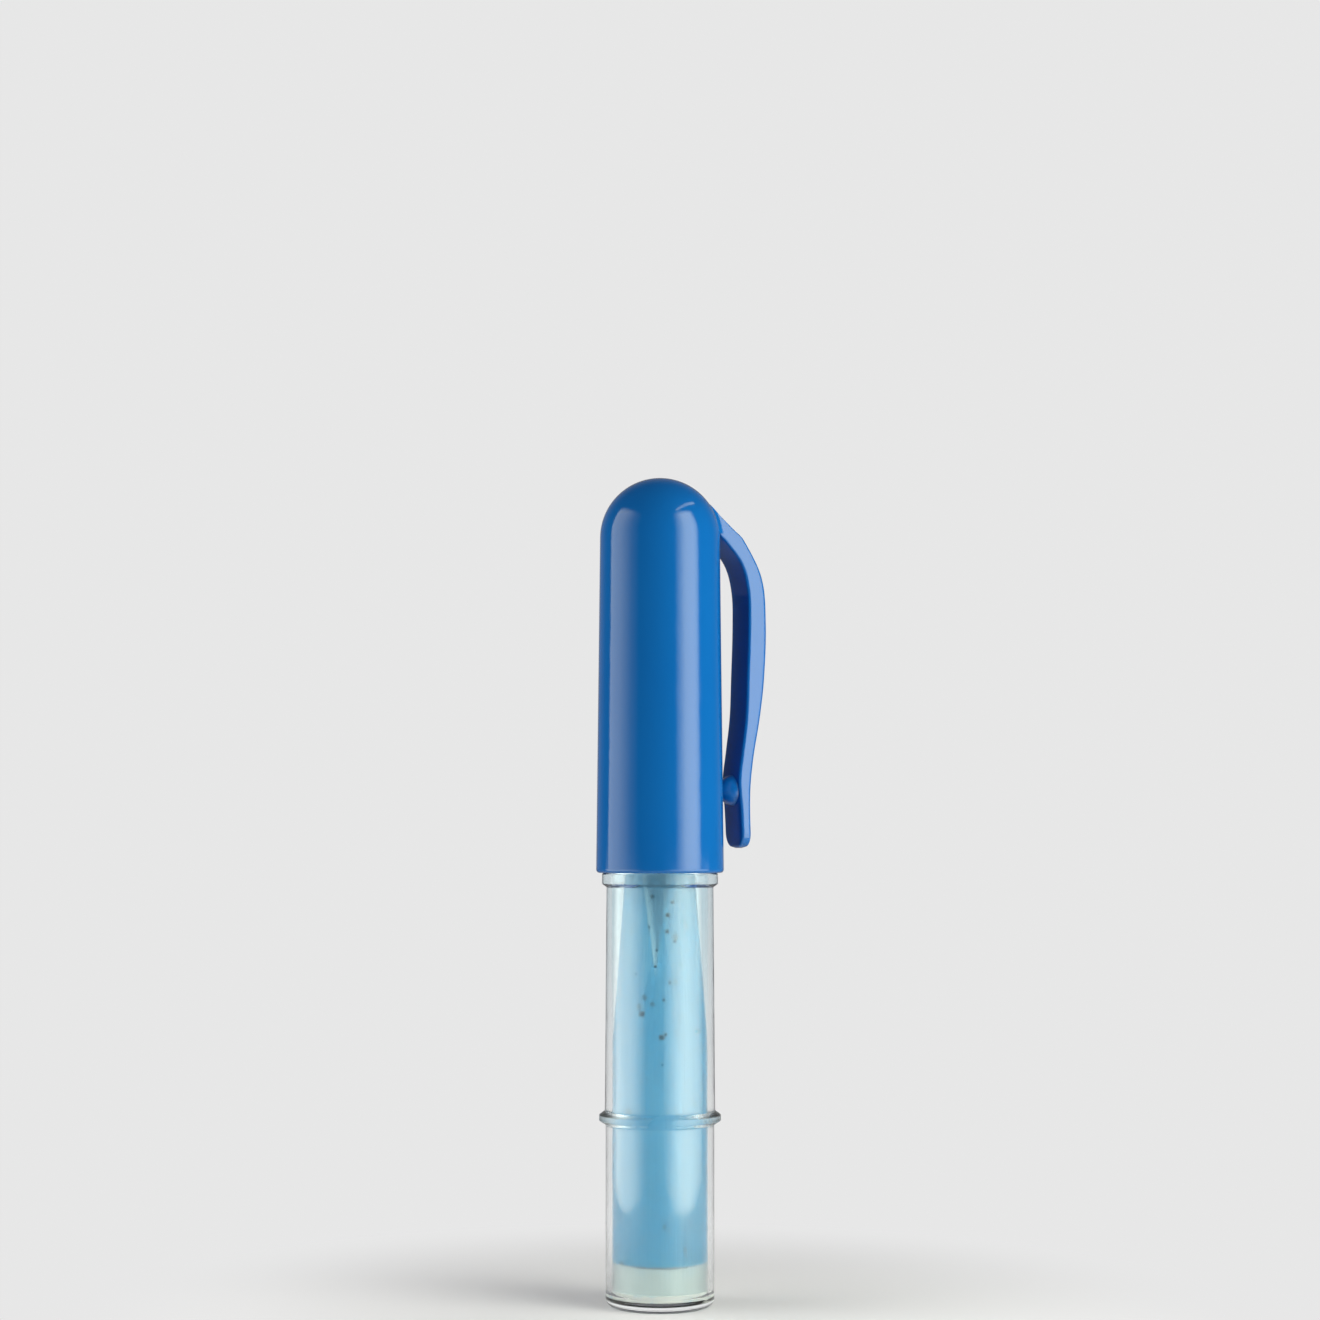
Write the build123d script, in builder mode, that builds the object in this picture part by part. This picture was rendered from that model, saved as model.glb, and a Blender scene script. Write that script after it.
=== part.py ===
"""Chalk powder pen for marking cloth, standing on its tail with the cap on.

A clear barrel holds a refill cartridge of powdered chalk. The cartridge feeds a nose cone whose toothed
wheel lays a thin line of powder, and a cap with a moulded clip covers the nose.

Millimetres. The origin is the centre of the tail's flat end, +Z runs up the pen's axis to the dome of
the cap, and +X points to the clip.
"""

import math
import os

from build123d import *

# Barrel: one clear moulding, closed at the tail, with a bead, a collar and a plain neck
tail_diameter = 14.75
waist_diameter = 14.8
neck_diameter = 14.6
bore_diameter = 13.2
barrel_length = 56.6
floor_thickness = 1.4
tail_chamfer = 1.2
bead_diameter = 16.55
bead_height = 1.85
bead_land = 0.75
bead_base = 24.45
collar_diameter = 15.85
collar_thickness = 1.95
collar_chamfer = 0.25
neck_length = 6.0

# Cartridge: a thin refill tube that tapers over a long shoulder into a plug-in neck
cartridge_clearance = 0.15
cartridge_wall = 0.55
cartridge_neck_drop = 0.55
cartridge_shoulder_length = 22.4
cartridge_neck_diameter = 9.6
cartridge_neck_length = 9.0
cartridge_neck_wall = 0.7

# Cartridge plug: a hollow stopper pushed into the cartridge's filling end
plug_flange_thickness = 1.0
plug_skirt_length = 3.6
plug_wall = 0.9
plug_fit = 0.03

# Chalk powder: the fill, up to just under the neck's mouth
powder_gap = 0.05
powder_rise = 2.0

# Nose cone: plugs into the barrel's neck, carries the cap and narrows to the wheel's fork
spigot_fit = 0.08
spigot_length = 5.8
flange_diameter = 14.5
flange_thickness = 1.0
shoulder_diameter = 13.8
nose_shoulder_length = 6.5
nose_taper_length = 9.0
tip_diameter = 7.2
tip_chamfer = 0.7
socket_fit = 0.08
socket_spare = 0.3
nose_funnel_length = 3.0
channel_diameter = 2.6

# Wheel and axle: a toothed disc that turns in the fork on a pressed pin
wheel_diameter = 5.4
wheel_thickness = 0.8
wheel_depth = 1.45
tooth_count = 30
tooth_depth = 0.32
wheel_side_clearance = 0.15
wheel_rim_clearance = 0.25
pin_diameter = 1.0
pin_length = 6.4
pin_seat_fit = 0.02
pin_running_fit = 0.06

# Cap: a domed shell with grip ribs inside, and a clip moulded in one with its dome
cap_length = 54.25
cap_mouth_diameter = 17.46
cap_dome_diameter = 16.5
cap_clearance = 0.15
cap_dome_wall = 1.25
cap_crown_wall = 2.8
cap_crown_diameter = 8.4
cap_crown_slope = 4.2
cap_tip_space = 12.25
cap_mouth_chamfer = 0.35
rib_count = 6
rib_width = 0.9
rib_length = 8.0
rib_clearance = 0.06
rib_lift = 0.7

# Clip: a bowed strip from the dome down the cap's side, with a round end and a pinching nub
clip_length = 46.6
clip_drop = 4.3
clip_reach = 7.11
clip_width = 5.2
clip_edge_chamfer = 0.35
clip_end_round = 2.1
nub_diameter = 4.4
nub_chamfer = 1.1
nub_gap = 0.3
nub_root = 0.6
nub_height = 8.0

# One overrun serves every cut that has to pass a face
overrun = 1.0

# Places along the clip from its root, as shares of its length, with its stand-off as shares of its reach
clip_outer_shares = [
    (0.010, 0.02),
    (0.081, 0.50),
    (0.195, 0.91),
    (0.330, 1.00),
    (0.494, 0.96),
    (0.614, 0.86),
    (0.734, 0.715),
    (0.840, 0.645),
    (1.000, 0.665),
]
clip_inner_shares = [
    (1.000, 0.465),
    (0.890, 0.43),
    (0.800, 0.385),
    (0.720, 0.45),
    (0.614, 0.54),
    (0.494, 0.575),
    (0.330, 0.61),
    (0.230, 0.585),
    (0.150, 0.42),
    (0.070, -0.03),
]
clip_root_share = 0.5
nub_stand_off_share = 0.385

# Levels up the pen's axis, worked out from the sizes above
bead_middle = bead_base + bead_height / 2
bead_top = bead_base + bead_height
collar_top = barrel_length + collar_thickness
neck_top = collar_top + neck_length
cartridge_base = floor_thickness + plug_flange_thickness
cartridge_neck_base = collar_top - cartridge_neck_drop
cartridge_shoulder_base = cartridge_neck_base - cartridge_shoulder_length
cartridge_top = cartridge_neck_base + cartridge_neck_length
plug_top = cartridge_base + plug_skirt_length
powder_top = cartridge_neck_base + powder_rise
flange_top = neck_top + flange_thickness
nose_shoulder_top = flange_top + nose_shoulder_length
cap_top = collar_top + cap_length
nose_tip = cap_top - cap_tip_space
wheel_centre = nose_tip - wheel_depth

# Radii shared by pieces that fit together
bore_radius = bore_diameter / 2
cartridge_radius = bore_radius - cartridge_clearance
cartridge_bore = cartridge_radius - cartridge_wall
cartridge_neck_radius = cartridge_neck_diameter / 2
cartridge_neck_bore = cartridge_neck_radius - cartridge_neck_wall
wheel_radius = wheel_diameter / 2
cap_dome_radius = cap_dome_diameter / 2
cap_bore_radius = neck_diameter / 2 + cap_clearance
cap_dome_base = cap_top - cap_dome_radius

wheel_plane = Plane.XZ.shift_origin((0, 0, wheel_centre))


# Barrel
with BuildPart() as barrel:
    with BuildSketch(Plane.XZ):
        with BuildLine():
            Polyline(
                (0, 0),
                (tail_diameter / 2, 0),
                (tail_diameter / 2, bead_base),
                (bead_diameter / 2, bead_middle - bead_land / 2),
                (bead_diameter / 2, bead_middle + bead_land / 2),
                (waist_diameter / 2, bead_top),
                (waist_diameter / 2, barrel_length),
                (collar_diameter / 2, barrel_length),
                (collar_diameter / 2, collar_top),
                (neck_diameter / 2, collar_top),
                (neck_diameter / 2, neck_top),
                (bore_radius, neck_top),
                (bore_radius, floor_thickness),
                (0, floor_thickness),
                close=True,
            )
        make_face()
    revolve(axis=Axis.Z)
    circles = barrel.edges().filter_by(GeomType.CIRCLE)
    chamfer(circles.group_by(Axis.Z)[0], tail_chamfer)
    rims = barrel.edges().filter_by(GeomType.CIRCLE).filter_by(lambda e: e.radius > waist_diameter / 2)
    chamfer(rims.filter_by_position(Axis.Z, barrel_length, collar_top), collar_chamfer)
barrel.part.label = "barrel"


# Refill cartridge
with BuildPart() as cartridge:
    with BuildSketch(Plane.XZ):
        with BuildLine():
            Polyline(
                (cartridge_bore, cartridge_base),
                (cartridge_radius, cartridge_base),
                (cartridge_radius, cartridge_shoulder_base),
                (cartridge_neck_radius, cartridge_neck_base),
                (cartridge_neck_radius, cartridge_top),
                (cartridge_neck_bore, cartridge_top),
                (cartridge_neck_bore, cartridge_neck_base),
                (cartridge_bore, cartridge_shoulder_base),
                close=True,
            )
        make_face()
    revolve(axis=Axis.Z)
cartridge.part.label = "cartridge"


# Cartridge plug
with BuildPart() as cartridge_plug:
    with BuildSketch(Plane.XY.offset(floor_thickness)):
        Circle(cartridge_radius)
    extrude(amount=plug_flange_thickness)
    with BuildSketch(Plane.XY.offset(cartridge_base)):
        Circle(cartridge_bore - plug_fit)
    extrude(amount=plug_skirt_length)
    with BuildSketch(Plane.XY.offset(floor_thickness)):
        Circle(cartridge_bore - plug_fit - plug_wall)
    extrude(amount=plug_flange_thickness + plug_skirt_length - plug_wall, mode=Mode.SUBTRACT)
cartridge_plug.part.label = "cartridge_plug"


# Chalk powder
with BuildPart() as chalk_powder:
    with BuildSketch(Plane.XZ):
        with BuildLine():
            Polyline(
                (0, plug_top + powder_gap),
                (cartridge_bore - powder_gap, plug_top + powder_gap),
                (cartridge_bore - powder_gap, cartridge_shoulder_base),
                (cartridge_neck_bore - powder_gap, cartridge_neck_base),
                (cartridge_neck_bore - powder_gap, powder_top),
                (0, powder_top),
                close=True,
            )
        make_face()
    revolve(axis=Axis.Z)
chalk_powder.part.label = "chalk_powder"


# Nose cone
socket_radius = cartridge_neck_radius + socket_fit
socket_top = cartridge_top + socket_spare
spigot_base = neck_top - spigot_length
cone_top = nose_shoulder_top + nose_taper_length
slot_half_width = wheel_thickness / 2 + wheel_side_clearance
slot_radius = wheel_radius + wheel_rim_clearance

with BuildPart() as nose_cone:
    with BuildSketch(Plane.XZ):
        with BuildLine():
            Polyline(
                (socket_radius, spigot_base),
                (bore_radius - spigot_fit, spigot_base),
                (bore_radius - spigot_fit, neck_top),
                (flange_diameter / 2, neck_top),
                (flange_diameter / 2, flange_top),
                (shoulder_diameter / 2, flange_top),
                (shoulder_diameter / 2, nose_shoulder_top),
                (tip_diameter / 2, cone_top),
                (tip_diameter / 2, nose_tip),
                (0, nose_tip),
                (0, wheel_centre),
                (channel_diameter / 2, wheel_centre),
                (channel_diameter / 2, socket_top + nose_funnel_length),
                (cartridge_neck_bore, socket_top),
                (socket_radius, socket_top),
                close=True,
            )
        make_face()
    revolve(axis=Axis.Z)
    chamfer(nose_cone.edges().filter_by(GeomType.CIRCLE).sort_by(Axis.Z)[-1], tip_chamfer)
    with BuildSketch(wheel_plane):
        Circle(slot_radius)
        Rectangle(2 * slot_radius, wheel_depth + overrun, align=(Align.CENTER, Align.MIN))
    extrude(amount=slot_half_width, both=True, mode=Mode.SUBTRACT)
    with BuildSketch(wheel_plane):
        Circle(pin_diameter / 2 + pin_seat_fit)
    extrude(amount=tip_diameter, both=True, mode=Mode.SUBTRACT)
nose_cone.part.label = "nose_cone"


# Toothed wheel
def tooth_points():
    """Crest and root of each tooth in turn, round the rim"""
    points = []
    for step in range(2 * tooth_count):
        radius = wheel_radius if step % 2 == 0 else wheel_radius - tooth_depth
        angle = math.pi * (step / tooth_count + 1 / 2)
        points.append((radius * math.cos(angle), radius * math.sin(angle)))
    return points


with BuildPart() as wheel:
    with BuildSketch(wheel_plane):
        with BuildLine():
            Polyline(*tooth_points(), close=True)
        make_face()
        Circle(pin_diameter / 2 + pin_running_fit, mode=Mode.SUBTRACT)
    extrude(amount=wheel_thickness / 2, both=True)
wheel.part.label = "wheel"


# Axle pin
with BuildPart() as axle_pin:
    with BuildSketch(wheel_plane):
        Circle(pin_diameter / 2)
    extrude(amount=pin_length / 2, both=True)
axle_pin.part.label = "axle_pin"


# Cap and its clip
clip_root = cap_top - clip_drop
nub_centre = clip_root - clip_length + nub_height
cap_taper = (cap_mouth_diameter - cap_dome_diameter) / 2 / (cap_dome_base - collar_top)
cap_radius_at_nub = cap_dome_radius + cap_taper * (cap_dome_base - nub_centre)
cap_crown_radius = cap_crown_diameter / 2
wall_middle = cap_dome_radius - cap_dome_wall * clip_root_share


def clip_point(along, stand_off):
    """A point of the clip's side outline, from its two shares"""
    return (cap_dome_radius + stand_off * clip_reach, clip_root - along * clip_length)


clip_outer = [clip_point(*shares) for shares in clip_outer_shares]
clip_inner = [clip_point(*shares) for shares in clip_inner_shares]
root_low = (wall_middle, clip_inner[-1][1] + cap_dome_wall / 2)
root_high = (wall_middle - cap_dome_wall / 2, clip_outer[0][1] - cap_dome_wall / 4)

with BuildPart() as clip:
    with BuildSketch(Plane.XZ.offset(-clip_width / 2)):
        with BuildLine():
            Spline(*clip_outer)
            Line(clip_outer[-1], clip_inner[0])
            Spline(*clip_inner)
            Polyline(clip_inner[-1], root_low, root_high, clip_outer[0])
        make_face()
    extrude(amount=clip_width)
    end_face = clip.faces().sort_by(Axis.Z)[0]
    fillet(end_face.edges().filter_by(Axis.Y, reverse=True), clip_end_round)
    chamfer(clip.edges().filter_by(GeomType.BSPLINE), clip_edge_chamfer)
    nub_length = cap_dome_radius + nub_stand_off_share * clip_reach + nub_root - cap_radius_at_nub - nub_gap
    with BuildSketch(Plane(origin=(cap_radius_at_nub + nub_gap, 0, nub_centre), z_dir=(1, 0, 0))):
        Circle(nub_diameter / 2)
    extrude(amount=nub_length)
    chamfer(clip.edges().filter_by(GeomType.CIRCLE).group_by(Axis.X)[0], nub_chamfer)

with BuildPart() as cap:
    with BuildSketch(Plane.XZ):
        with BuildLine():
            Polyline(
                (0, cap_top - cap_crown_wall),
                (0, cap_top),
            )
            ThreePointArc(
                (0, cap_top),
                (
                    cap_dome_radius * math.cos(math.pi / 4),
                    cap_dome_base + cap_dome_radius * math.sin(math.pi / 4),
                ),
                (cap_dome_radius, cap_dome_base),
            )
            Polyline(
                (cap_dome_radius, cap_dome_base),
                (cap_mouth_diameter / 2, collar_top),
                (cap_bore_radius, collar_top),
                (cap_bore_radius, cap_top - cap_crown_wall - cap_crown_slope),
                (cap_crown_radius, cap_top - cap_crown_wall),
                (0, cap_top - cap_crown_wall),
            )
        make_face()
    revolve(axis=Axis.Z)
    mouth_edges = cap.edges().filter_by(GeomType.CIRCLE).group_by(Axis.Z)[0]
    chamfer(mouth_edges.sort_by(SortBy.RADIUS)[-1], cap_mouth_chamfer)
    add(clip.part)
    rib_inner = shoulder_diameter / 2 + rib_clearance
    rib_outer = (cap_bore_radius + cap_dome_radius) / 2
    with BuildSketch(Plane.XY.offset(flange_top + rib_lift)):
        with PolarLocations((rib_inner + rib_outer) / 2, rib_count):
            Rectangle(rib_outer - rib_inner, rib_width)
    extrude(amount=rib_length)
cap.part.label = "cap"


os.makedirs("parts", exist_ok=True)
for piece in (barrel, cartridge, cartridge_plug, chalk_powder, nose_cone, wheel, axle_pin, cap):
    export_step(piece.part, f"parts/{piece.part.label}.step")
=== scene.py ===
import math
import bmesh
import bpy
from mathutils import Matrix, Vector


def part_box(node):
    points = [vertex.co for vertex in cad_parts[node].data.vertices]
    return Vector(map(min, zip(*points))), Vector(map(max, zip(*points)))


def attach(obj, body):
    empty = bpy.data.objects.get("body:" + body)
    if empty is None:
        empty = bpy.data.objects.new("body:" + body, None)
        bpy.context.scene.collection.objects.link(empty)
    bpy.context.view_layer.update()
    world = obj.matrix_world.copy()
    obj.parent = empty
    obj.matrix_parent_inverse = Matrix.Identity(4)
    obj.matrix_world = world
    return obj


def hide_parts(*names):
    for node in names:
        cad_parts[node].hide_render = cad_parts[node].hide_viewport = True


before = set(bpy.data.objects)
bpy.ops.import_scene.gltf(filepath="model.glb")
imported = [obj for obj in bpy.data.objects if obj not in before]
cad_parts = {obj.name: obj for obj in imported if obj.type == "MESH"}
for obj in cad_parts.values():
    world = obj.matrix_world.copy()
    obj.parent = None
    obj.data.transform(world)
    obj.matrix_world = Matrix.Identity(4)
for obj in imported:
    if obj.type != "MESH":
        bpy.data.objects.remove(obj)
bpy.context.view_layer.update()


# Barrel
# One clear, hard moulding, closed at the tail. A soft bead runs round it below the middle, and a
# collar stops the cap. It is polished inside and out, with the faint rubs of handling along it.
MM = 0.001
TAIL_RADIUS = 7.375
WAIST_RADIUS = 7.5
NECK_RADIUS = 7.3
BARREL_BORE = 6.6
BARREL_FLOOR = 1.4
BEAD_RADIUS = 8.275
BEAD_LOW = 24.45
BEAD_HIGH = 26.3
COLLAR_RADIUS = 7.925
COLLAR_LOW = 56.6
COLLAR_HIGH = 58.55
BEAD_SLOPE = 0.55
COLLAR_SLOPE = 0.45
SUPPORT = 0.12
ON_AXIS = 1e-6
BAND_OUT = 0.2
BAND_IN = 0.3
barrel_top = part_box("barrel")[1].z / MM


def rounded(corners, steps=6):
    """An outline of (radius, height) corners. A third number at a corner rounds it off."""
    outline = []
    count = len(corners)
    for place, corner in enumerate(corners):
        here = Vector(corner[:2])
        if len(corner) == 2:
            outline.append(here)
            continue
        before = (Vector(corners[place - 1][:2]) - here).normalized()
        after = (Vector(corners[(place + 1) % count][:2]) - here).normalized()
        half = before.angle(after) / 2
        centre = here + (before + after).normalized() * corner[2] / math.sin(half)
        start = here + before * corner[2] / math.tan(half) - centre
        end = here + after * corner[2] / math.tan(half) - centre
        turn = start.angle(end)
        for step in range(steps + 1):
            share = step / steps
            way = start * math.sin((1 - share) * turn) + end * math.sin(share * turn)
            outline.append(centre + way / math.sin(turn))
    return outline


def supported(outline):
    """The outline with a point near both ends of each long line, to keep its shading straight."""
    fuller = []
    for here, after in zip(outline, outline[1:] + outline[:1]):
        fuller.append(here)
        line = after - here
        if line.length > 4 * SUPPORT and max(here.x, after.x) > 0:
            fuller += [here + line.normalized() * SUPPORT, after - line.normalized() * SUPPORT]
    return fuller


def points(shape, places):
    """New points of a bmesh, at places in millimetres."""
    return [shape.verts.new((x * MM, y * MM, z * MM)) for x, y, z in places]


def walls(shape, rings):
    """Faces from each ring of points to the next, where a point met twice counts once."""
    for low, high in zip(rings, rings[1:]):
        for side in range(len(low)):
            following = (side + 1) % len(low)
            corners = [low[side], low[following], high[following], high[side]]
            corners = [v for place, v in enumerate(corners) if v not in corners[:place]]
            if len(corners) > 2:
                shape.faces.new(corners)


def turned(name, outline, sides=160):
    """A body of revolution about the pen's axis, closed on itself or at the axis."""
    shape = bmesh.new()
    angles = [2 * math.pi * side / sides for side in range(sides)]
    rings = []
    for radius, height in supported(outline):
        if radius < ON_AXIS:
            rings.append(points(shape, [(0, 0, height)]) * sides)
        else:
            circle = [(radius * math.cos(a), radius * math.sin(a), height) for a in angles]
            rings.append(points(shape, circle))
    walls(shape, rings + rings[:1])
    return finished(name, shape)


def finished(name, shape, sharp=40):
    """The object of a bmesh, facing outward and smooth but for edges over so many degrees."""
    bmesh.ops.recalc_face_normals(shape, faces=shape.faces)
    if shape.calc_volume(signed=True) < 0:
        bmesh.ops.reverse_faces(shape, faces=shape.faces)
    mesh = bpy.data.meshes.new(name)
    shape.to_mesh(mesh)
    shape.free()
    mesh.shade_smooth()
    mesh.set_sharp_from_angle(angle=math.radians(sharp))
    piece = bpy.data.objects.new(name, mesh)
    bpy.context.scene.collection.objects.link(piece)
    return piece


def grey(level):
    """An opaque grey."""
    return (level, level, level, 1)


class Wire:
    """A socket of a material, used like a number: what is worked out with it becomes nodes."""

    def __init__(self, socket):
        self.socket = socket

    def node(self, kind, settings=None, inputs=None, output=0):
        """Adds a node with its settings, then feeds its inputs, and gives one of its outputs."""
        tree = self.socket.id_data
        added = tree.nodes.new("ShaderNode" + kind)
        for key, value in (settings or {}).items():
            setattr(added, key, value)
        for key, value in (inputs or {}).items():
            if isinstance(value, Wire):
                tree.links.new(value.socket, added.inputs[key])
            else:
                added.inputs[key].default_value = value
        return Wire(added.outputs[output])

    def into(self, socket):
        """Links this wire to an input."""
        self.socket.id_data.links.new(self.socket, socket)

    def arithmetic(self, operation, first, second):
        """One Math node, or one Vector Math node where either side is a vector or a colour."""
        sides = [first, second]
        kinds = [side.socket.type for side in sides if isinstance(side, Wire)]
        if "VECTOR" not in kinds and "RGBA" not in kinds:
            return self.node("Math", {"operation": operation}, {0: first, 1: second})
        sides = [(side,) * 3 if isinstance(side, (int, float)) else side for side in sides]
        return self.node("VectorMath", {"operation": operation}, {0: sides[0], 1: sides[1]})

    def __add__(self, other):
        return self.arithmetic("ADD", self, other)

    def __radd__(self, other):
        return self.arithmetic("ADD", other, self)

    def __sub__(self, other):
        return self.arithmetic("SUBTRACT", self, other)

    def __rsub__(self, other):
        return self.arithmetic("SUBTRACT", other, self)

    def __mul__(self, other):
        return self.arithmetic("MULTIPLY", self, other)

    def __truediv__(self, other):
        return self.arithmetic("DIVIDE", self, other)

    def __pow__(self, other):
        return self.arithmetic("POWER", self, other)

    def either(self, other):
        """The larger of two wires."""
        return self.arithmetic("MAXIMUM", self, other)

    def blend(self, zero, one):
        """The colour zero where this wire is 0 and the colour one where it is 1."""
        return self.node("Mix", {"data_type": "RGBA"}, {0: self, 6: zero, 7: one}, 2)

    def step(self, low, high):
        """0 below low, 1 above high, and a soft rise between them."""
        smooth = {"interpolation_type": "SMOOTHSTEP"}
        return self.node("MapRange", smooth, {"Value": self, "From Min": low, "From Max": high})

    def height(self):
        """The part of a place that runs up the pen."""
        return self.node("SeparateXYZ", None, {0: self}, "Z")

    def noise(self, scale, detail=3.0, roughness=0.55):
        """Cloudy noise at a place."""
        inputs = {"Vector": self, "Scale": scale, "Detail": detail, "Roughness": roughness}
        return self.node("TexNoise", None, inputs)

    def bump(self, strength, distance):
        """A normal that takes this wire for a relief."""
        inputs = {"Strength": strength, "Distance": distance, "Height": self}
        return self.node("Bump", None, inputs)

    def ray(self, kind):
        """1 for rays of a kind, and 0 for the others."""
        return self.node("LightPath", output=f"Is {kind} Ray")

    def ramp(self, stops):
        """Grey levels read off (place, level) stops."""
        read = self.node("ValToRGB", None, {0: self})
        elements = read.socket.node.color_ramp.elements
        for place, level in stops[1:-1]:
            elements.new(place)
        for element, (place, level) in zip(elements, stops):
            element.position = place
            element.color = grey(level)
        return read


def material(name, **values):
    """A material, its shader and a wire with the place on the piece in millimetres."""
    made = bpy.data.materials.new(name)
    made.use_nodes = True
    shader = made.node_tree.nodes["Principled BSDF"]
    for key, value in values.items():
        shader.inputs[key.replace("_", " ").title().replace("Ior", "IOR")].default_value = value
    place = Wire(shader.outputs[0]).node("TexCoord", output="Object") * (1 / MM)
    return made, shader, place


def along(place, around, up):
    """The place stretched along the pen, for rubs and streaks that run up and down it."""
    return place * (around, around, up)


def shares_surface(made, share, first, second):
    """Lets two shaders share a material's surface, where the share says how much the second has."""
    both = share.node("MixShader", None, {0: share, 1: first, 2: second})
    both.into(made.node_tree.nodes["Material Output"].inputs["Surface"])


def lets_lamps_through(made, shader, tint):
    """Lamps reach what is inside this clear wall, and every other ray meets the wall itself."""
    wall = Wire(shader.outputs[0])
    open_way = wall.node("BsdfTransparent", None, {"Color": tint})
    shares_surface(made, wall.ray("Shadow"), wall, open_way)


def clear_plastic():
    """Clear plastic with a film of chalk that thickens upward, greasy patches and fine rubs."""
    made, shader, place = material("clear_plastic", transmission_weight=1.0, ior=1.49)
    level = place.height()
    film = level.step(26, 58) * (0.75 + along(place, 1.2, 0.08).noise(1.0, 3.0) * 0.5)
    colour = film.blend((0.965, 0.985, 0.99, 1), (0.77, 0.88, 0.92, 1))
    bead = level.step(BEAD_LOW - BAND_OUT, BEAD_LOW + BAND_IN)
    bead = bead * (1 - level.step(BEAD_HIGH - BAND_IN, BEAD_HIGH + BAND_OUT))
    collar = level.step(COLLAR_LOW - BAND_OUT, COLLAR_LOW + BAND_IN)
    (bead + collar * 0.6).blend(colour, (0.78, 0.90, 0.95, 1)).into(shader.inputs["Base Color"])
    rubs = along(place, 9.0, 0.35).noise(1.0, 4.0).step(0.62, 0.78)
    grease = place.noise(0.16, 2.0).step(0.35, 0.75)
    dull = 0.04 + grease * 0.04 + rubs * 0.06 + bead * 0.22 + collar * 0.05
    dull.into(shader.inputs["Roughness"])
    waves = place.noise(0.25, 1.0)
    (waves + rubs * 0.1).bump(0.05, 0.0004).into(shader.inputs["Normal"])
    lets_lamps_through(made, shader, (0.95, 0.975, 0.98, 1))
    return made


barrel = turned(
    "clear_barrel",
    rounded(
        [
            (0, 0),
            (TAIL_RADIUS, 0, 1.2),
            (TAIL_RADIUS, BEAD_LOW, 0.3),
            (BEAD_RADIUS, BEAD_LOW + BEAD_SLOPE, 0.15),
            (BEAD_RADIUS, BEAD_HIGH - BEAD_SLOPE, 0.15),
            (WAIST_RADIUS, BEAD_HIGH, 0.1),
            (NECK_RADIUS, COLLAR_LOW, 0.08),
            (COLLAR_RADIUS, COLLAR_LOW + COLLAR_SLOPE, 0.12),
            (COLLAR_RADIUS, COLLAR_HIGH, 0.3),
            (NECK_RADIUS, COLLAR_HIGH, 0.12),
            (NECK_RADIUS, barrel_top, 0.2),
            (BARREL_BORE, barrel_top, 0.2),
            (BARREL_BORE, BARREL_FLOOR, 0.9),
            (0, BARREL_FLOOR),
        ]
    ),
)
barrel.data.materials.append(clear_plastic())
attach(barrel, "barrel")
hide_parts("barrel")


# Refill cartridge
# A thin tube of frosted, milky plastic that slides into the barrel. It keeps its width for half its
# length, then draws in over a long shoulder to the neck that plugs into the nose. Crumbs of chalk
# cling to it on the side that faces the camera.
CARTRIDGE_RADIUS = 6.45
CARTRIDGE_WALL = 0.55
SHOULDER_LOW = 35.6
SHOULDER_HIGH = 58.0
CARTRIDGE_NECK = 4.8
CARTRIDGE_NECK_WALL = 0.7
SHOULDER_BEND = 45
VIEW_BEARING = math.radians(27)
SIDE_ON = (math.cos(VIEW_BEARING), -math.sin(VIEW_BEARING), 0)
FACE_ON = (-math.sin(VIEW_BEARING), -math.cos(VIEW_BEARING), 0)
CRUMBS = [
    (-2.3, 39.7, 0.19), (0.2, 36.6, 0.20), (0.75, 37.0, 0.10), (4.7, 37.3, 0.14),
    (1.0, 52.9, 0.16), (0.9, 50.7, 0.14), (-0.4, 48.2, 0.09), (1.6, 54.6, 0.12),
    (-3.1, 45.0, 0.08), (2.6, 46.3, 0.08), (-0.9, 55.4, 0.13), (0.3, 33.0, 0.08),
    (-1.4, 51.3, 0.09), (1.9, 49.4, 0.10), (-0.6, 46.0, 0.09), (1.3, 43.9, 0.11),
    (2.9, 52.0, 0.08), (0.5, 41.6, 0.10),
]
CRUMB_EDGE = 0.15
CRUMB_RAGGED = 0.2
cartridge_low, cartridge_high = [corner.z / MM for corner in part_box("cartridge")]


def across(place, direction):
    """How far a place lies along a direction across the pen."""
    return place.node("VectorMath", {"operation": "DOT_PRODUCT"}, {0: place, 1: direction}, "Value")


def crumbs(place, grain, swell):
    """1 on each crumb of chalk on the pen's face, and 0 off them. Swell makes them all larger."""
    side, level = across(place, SIDE_ON), place.height()
    marks = 0
    for crumb_side, crumb_level, radius in CRUMBS:
        away = ((side - crumb_side) ** 2 + (level - crumb_level) ** 2) ** 0.5
        away = away + (grain - 0.5) * CRUMB_RAGGED
        marks = marks + (1 - away.step(radius * swell, radius * swell + CRUMB_EDGE))
    return marks * across(place, FACE_ON).step(0.5, 1.0)


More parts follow.
